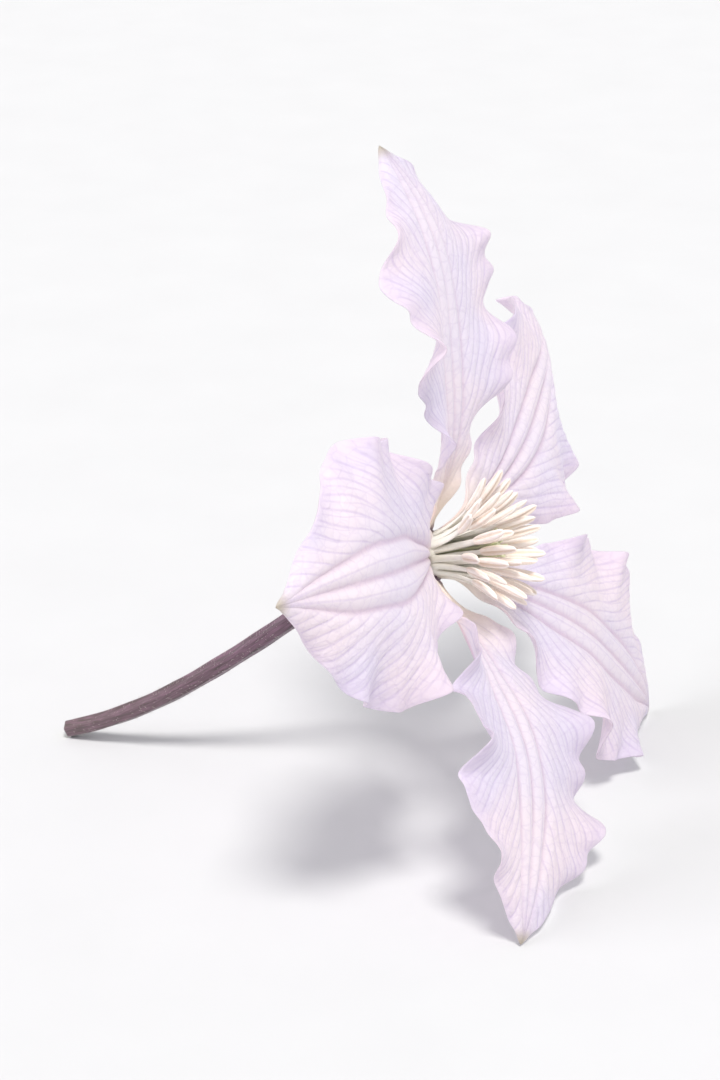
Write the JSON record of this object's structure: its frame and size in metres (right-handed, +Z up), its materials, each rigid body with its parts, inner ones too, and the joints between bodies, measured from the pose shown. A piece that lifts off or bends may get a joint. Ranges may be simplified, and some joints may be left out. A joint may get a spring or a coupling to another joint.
{
  "type": "clematis flower",
  "caption": "Open clematis flower with broad waved tepals, a tuft of stamens and pistils, and a bent pedicel, laid down as picked.",
  "frame": {"origin": "on the surface that the flower lies on, under the middle of its box", "axes": "+Z up; the flower faces -Y and leans back 18 degrees, and its pedicel runs back towards +Y; +X is to the right as seen from the front"},
  "size_m": [0.0848, 0.0722, 0.0781],
  "materials": {
    "tepal": "matte",
    "stamens": "matte",
    "pistils": "matte",
    "pedicel": "satin"
  },
  "bodies": {
    "root": {"tepal_1": "tepal", "tepal_2": "tepal", "tepal_3": "tepal", "tepal_4": "tepal", "tepal_5": "tepal", "stamens": "stamens", "pistils": "pistils", "pedicel": "pedicel"}
  },
  "joints": []
}
